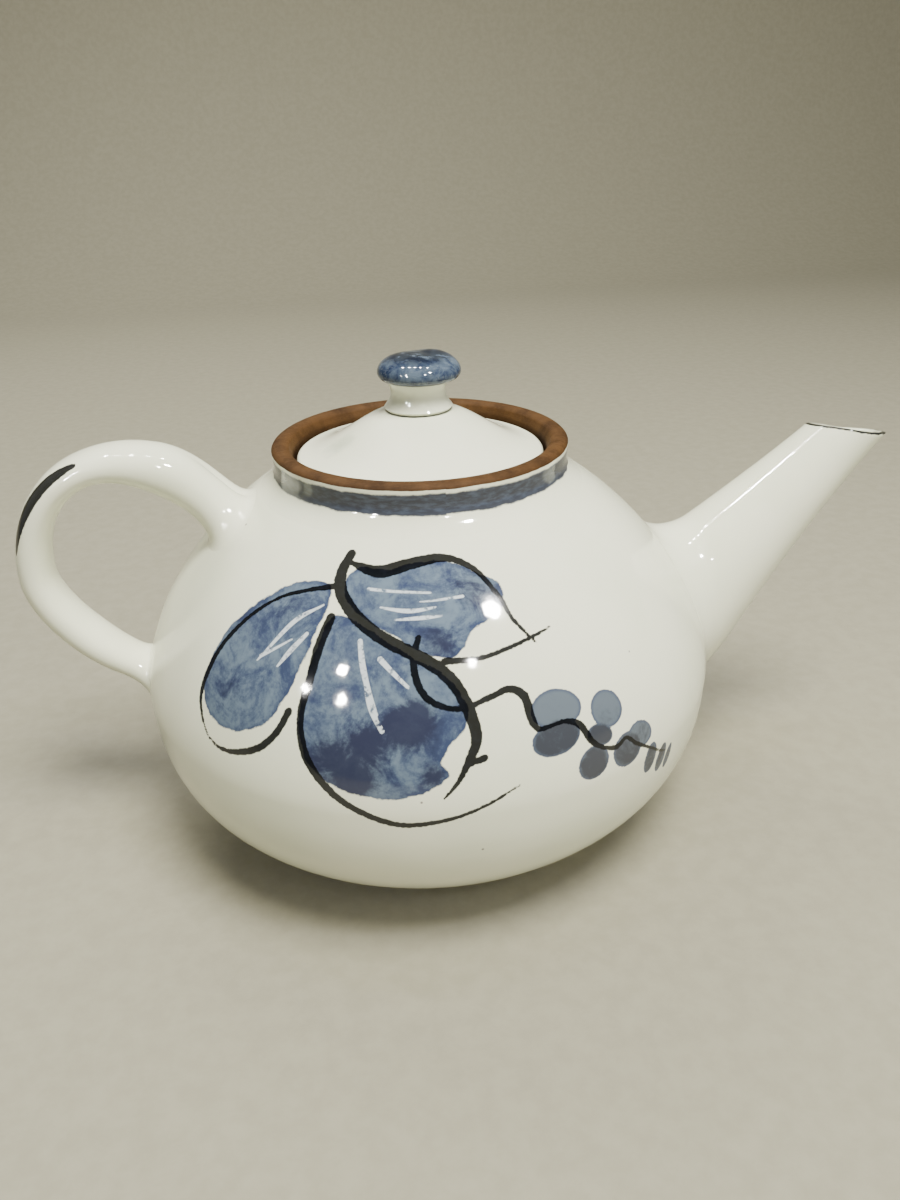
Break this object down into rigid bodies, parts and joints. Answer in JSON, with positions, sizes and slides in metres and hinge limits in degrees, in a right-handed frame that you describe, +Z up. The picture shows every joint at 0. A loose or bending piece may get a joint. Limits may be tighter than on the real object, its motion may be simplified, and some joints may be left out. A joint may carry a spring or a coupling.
{
  "type": "stoneware teapot",
  "caption": "Round hand-thrown stoneware teapot with a side spout, a looped strap handle and a lift-off knobbed lid seated in a gallery.",
  "frame": {"origin": "centre of the foot ring's resting plane", "axes": "+Z up along the pot's turning axis, +X towards the spout, the handle on -X, the painted face on -Y"},
  "size_m": [0.252, 0.165, 0.1366],
  "materials": {
    "white_glaze": "gloss",
    "blue_glaze": "gloss",
    "bare_clay": "matte"
  },
  "bodies": {
    "pot": {"belly": "white_glaze", "foot_ring": "bare_clay", "collar": "bare_clay", "spout": "white_glaze", "handle": "white_glaze"},
    "lid_ring": {"lid_flange": "bare_clay"},
    "lid": {"lid_dome": "white_glaze", "knob_stem": "white_glaze", "knob_cap": "blue_glaze"}
  },
  "joints": [
    {"name": "lid_lift", "type": "slide", "parent": "pot", "child": "lid_ring", "axis": [0, 0, 1], "range_m": [0, 0.06]},
    {"name": "lid_turn", "type": "hinge", "parent": "lid_ring", "child": "lid", "pos_m": [0, 0, 0.107], "axis": [0, 0, 1], "continuous": true}
  ]
}
